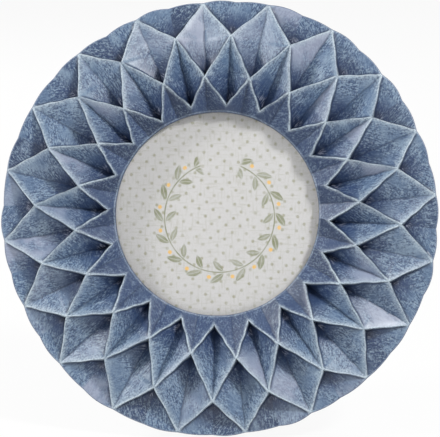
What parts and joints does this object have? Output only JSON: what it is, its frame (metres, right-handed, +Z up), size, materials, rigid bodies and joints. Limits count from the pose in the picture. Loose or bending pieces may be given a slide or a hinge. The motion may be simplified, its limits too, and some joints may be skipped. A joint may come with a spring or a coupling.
{
  "type": "round photo frame",
  "caption": "Round easel-back photo frame: cast ring of overlapping petals in dry-brushed blue, round glazed opening, back board held by turn buttons, folding leg.",
  "frame": {"origin": "on the table, under the middle of the frame's overall box, standing on its open leg", "axes": "+Z up, +X to the right seen from the front, front towards -Y and leaning back towards +Y"},
  "size_m": [0.1512, 0.0558, 0.1471],
  "materials": {
    "painted_resin": "matt blue paint, dry-brushed pale on the ridges",
    "clear_glass": "polished",
    "printed_paper": "matt print",
    "grey_card": "raw",
    "fibreboard": "raw cut edges",
    "black_paper": "matt",
    "nickel_steel": "satin nickel",
    "zinc_screw": "zinc plated",
    "steel_wire": "drawn wire"
  },
  "bodies": {
    "frame": {"frame_ring": "painted_resin", "glass_disc": "clear_glass", "photo_print": "printed_paper", "packing_card": "grey_card", "back_board": "fibreboard", "board_facing": "black_paper", "turn_button_screws": "zinc_screw", "hinge_fixed_leaf": "nickel_steel", "hinge_pin": "steel_wire", "board_rivets": "nickel_steel", "sawtooth_hanger": "nickel_steel", "hanger_screws": "zinc_screw"},
    "leg": {"easel_leg": "fibreboard", "leg_facing": "black_paper", "hinge_moving_leaf": "nickel_steel", "leg_rivets": "nickel_steel"},
    "turn_button_1": {"turn_button_1": "nickel_steel"},
    "turn_button_2": {"turn_button_2": "nickel_steel"},
    "turn_button_3": {"turn_button_3": "nickel_steel"},
    "turn_button_4": {"turn_button_4": "nickel_steel"}
  },
  "joints": [
    {"name": "leg_fold", "type": "hinge", "parent": "frame", "child": "leg", "pos_m": [0, 0.00946, 0.09079], "axis": [1, 0, 0], "range_deg": [-26, 0]},
    {"name": "turn_button_1_turn", "type": "hinge", "parent": "frame", "child": "turn_button_1", "pos_m": [0.0321, 0.01105, 0.10289], "axis": [0, 0.9659, -0.2588], "continuous": true},
    {"name": "turn_button_2_turn", "type": "hinge", "parent": "frame", "child": "turn_button_2", "pos_m": [0.0321, -0.00557, 0.04087], "axis": [0, 0.9659, -0.2588], "continuous": true},
    {"name": "turn_button_3_turn", "type": "hinge", "parent": "frame", "child": "turn_button_3", "pos_m": [-0.0321, -0.00557, 0.04087], "axis": [0, 0.9659, -0.2588], "continuous": true},
    {"name": "turn_button_4_turn", "type": "hinge", "parent": "frame", "child": "turn_button_4", "pos_m": [-0.0321, 0.01105, 0.10289], "axis": [0, 0.9659, -0.2588], "continuous": true}
  ]
}
